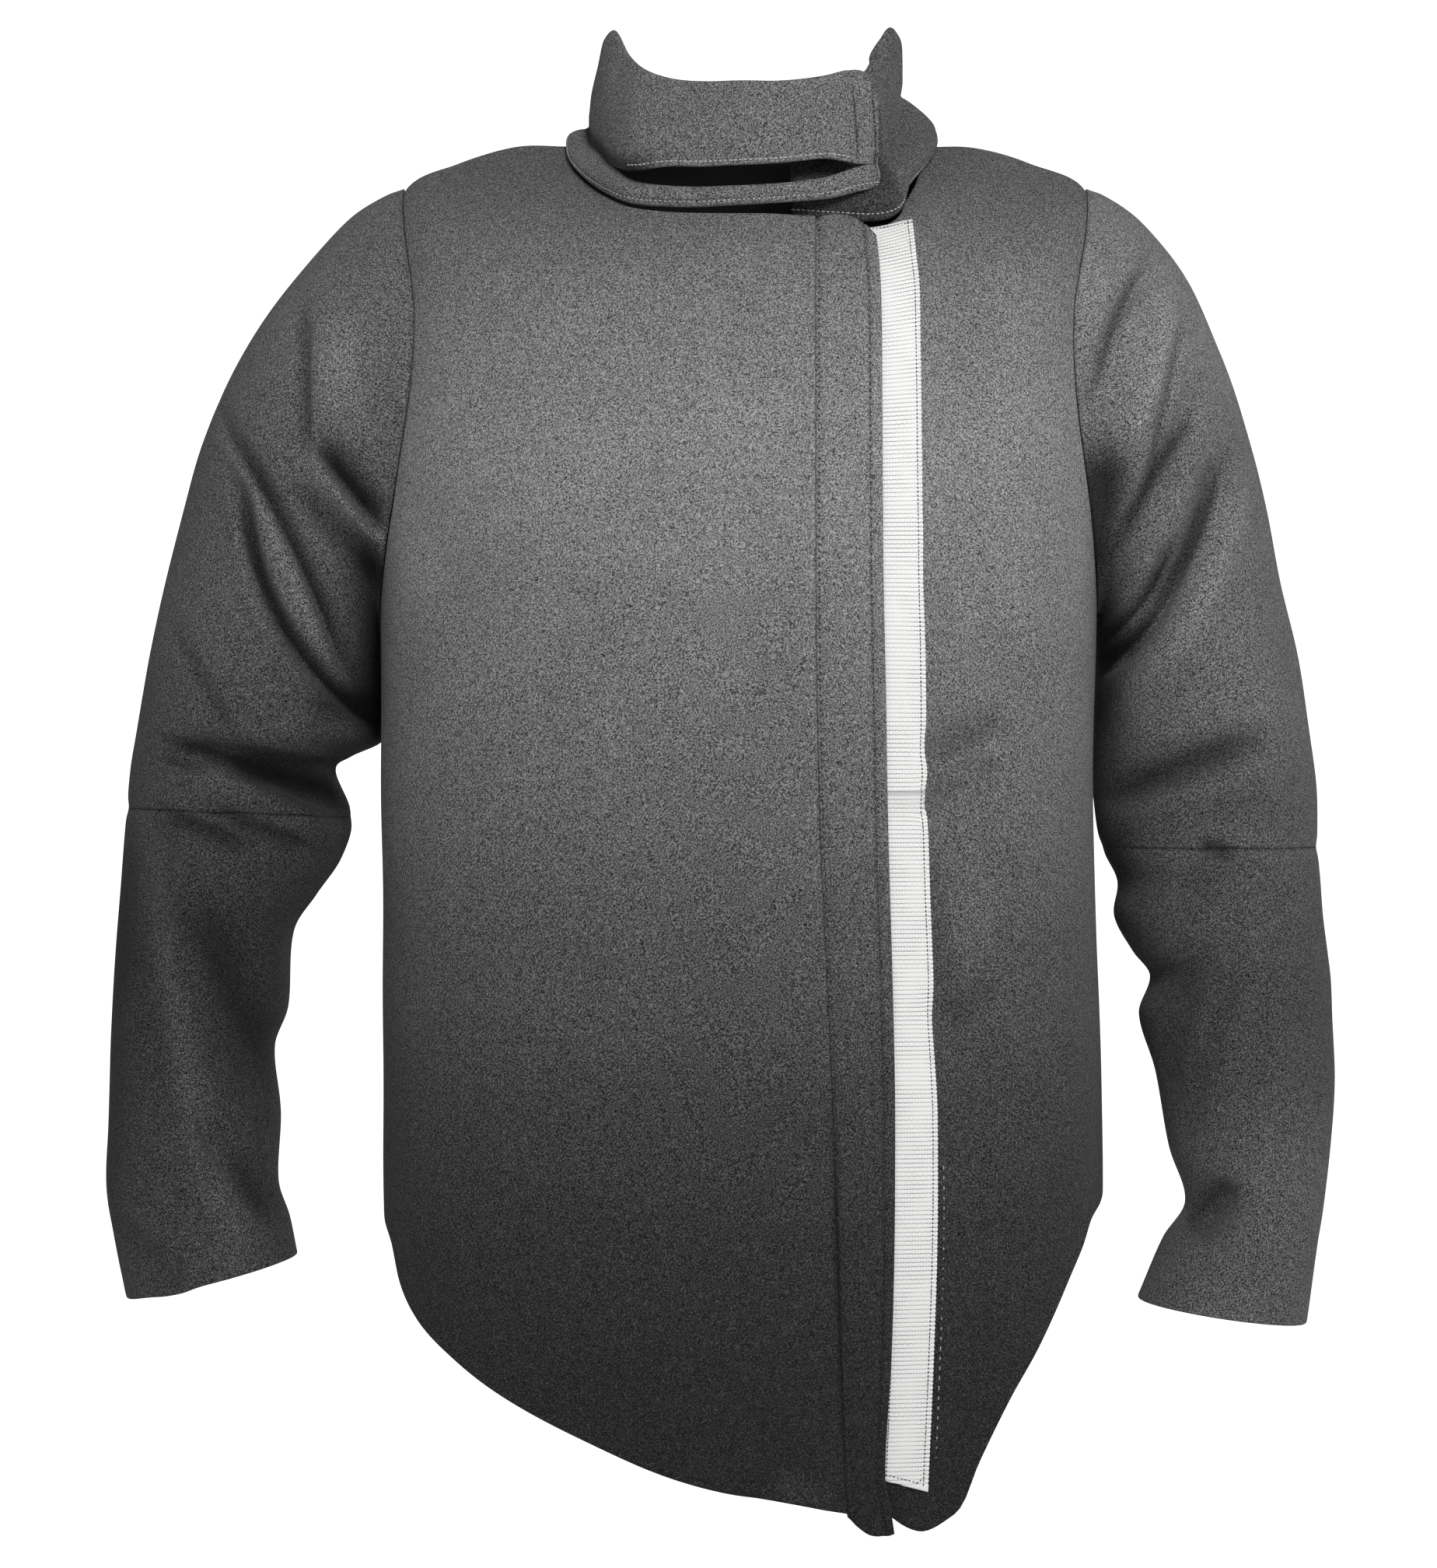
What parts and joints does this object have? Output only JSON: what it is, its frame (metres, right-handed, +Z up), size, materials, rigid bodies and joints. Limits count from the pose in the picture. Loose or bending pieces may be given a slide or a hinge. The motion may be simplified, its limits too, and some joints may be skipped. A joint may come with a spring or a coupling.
{
  "type": "fencing jacket",
  "caption": "Black padded fencing jacket in its worn shape: stand collar in bands, overlapping placket over a white woven tape, elbow-seamed sleeves and a hem that dips to a point in front.",
  "frame": {"origin": "middle of the neck opening, level with the points where the neck meets the shoulders, where the wearer's shoulders carry the jacket", "axes": "+Z up the wearer's spine, -Y out of the jacket's front, +X to the wearer's left"},
  "size_m": [0.6819, 0.2538, 0.8193],
  "materials": {
    "cloth": "matte brushed twill, padded",
    "tape": "ribbed woven tape"
  },
  "bodies": {
    "root": {"front_right": "cloth", "front_left": "cloth", "back": "cloth", "placket": "cloth", "front_tape": "tape", "collar_lower_band": "cloth", "collar_upper_band": "cloth", "upper_sleeve_right": "cloth", "upper_sleeve_left": "cloth", "lower_sleeve_right": "cloth", "lower_sleeve_left": "cloth"}
  },
  "joints": []
}
